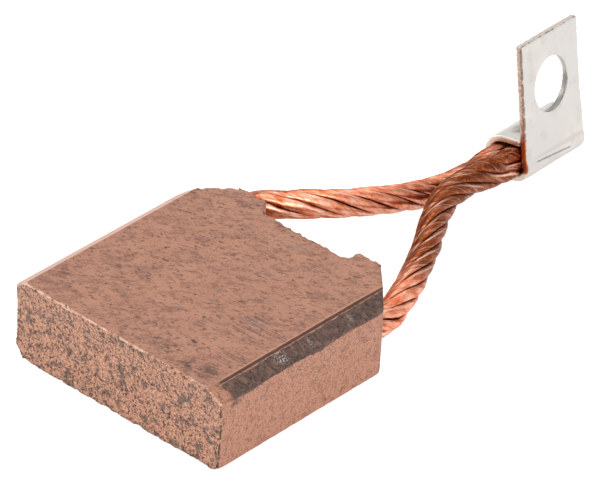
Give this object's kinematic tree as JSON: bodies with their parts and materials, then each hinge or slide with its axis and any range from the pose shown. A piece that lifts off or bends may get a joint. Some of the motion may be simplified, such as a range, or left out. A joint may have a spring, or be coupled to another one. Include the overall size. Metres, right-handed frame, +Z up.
{
  "type": "carbon brush",
  "caption": "Copper-graphite motor brush block with a hollow contact face, a rear spring recess, stranded copper shunts and a folded terminal lug.",
  "frame": {"origin": "middle of the block's lower broad face, at the middle of its length and width, with the shunts and the lug left out", "axes": "+Z up through the block's thickness, +Y from the contact face to the rear face and the shunts, +X across the block to the side with the burnished bevel"},
  "size_m": [0.03, 0.0761, 0.0179],
  "materials": {
    "copper_graphite": "matt pressed copper and graphite powder, speckled where it is ground",
    "stranded_copper": "bright bare copper wire, rope laid",
    "tinned_sheet": "pale satin tin over copper, bare at the sheared edges"
  },
  "bodies": {
    "root": {"carbon_block": "copper_graphite", "shunt_left": "stranded_copper", "shunt_right": "stranded_copper", "terminal_lug": "tinned_sheet"}
  },
  "joints": []
}
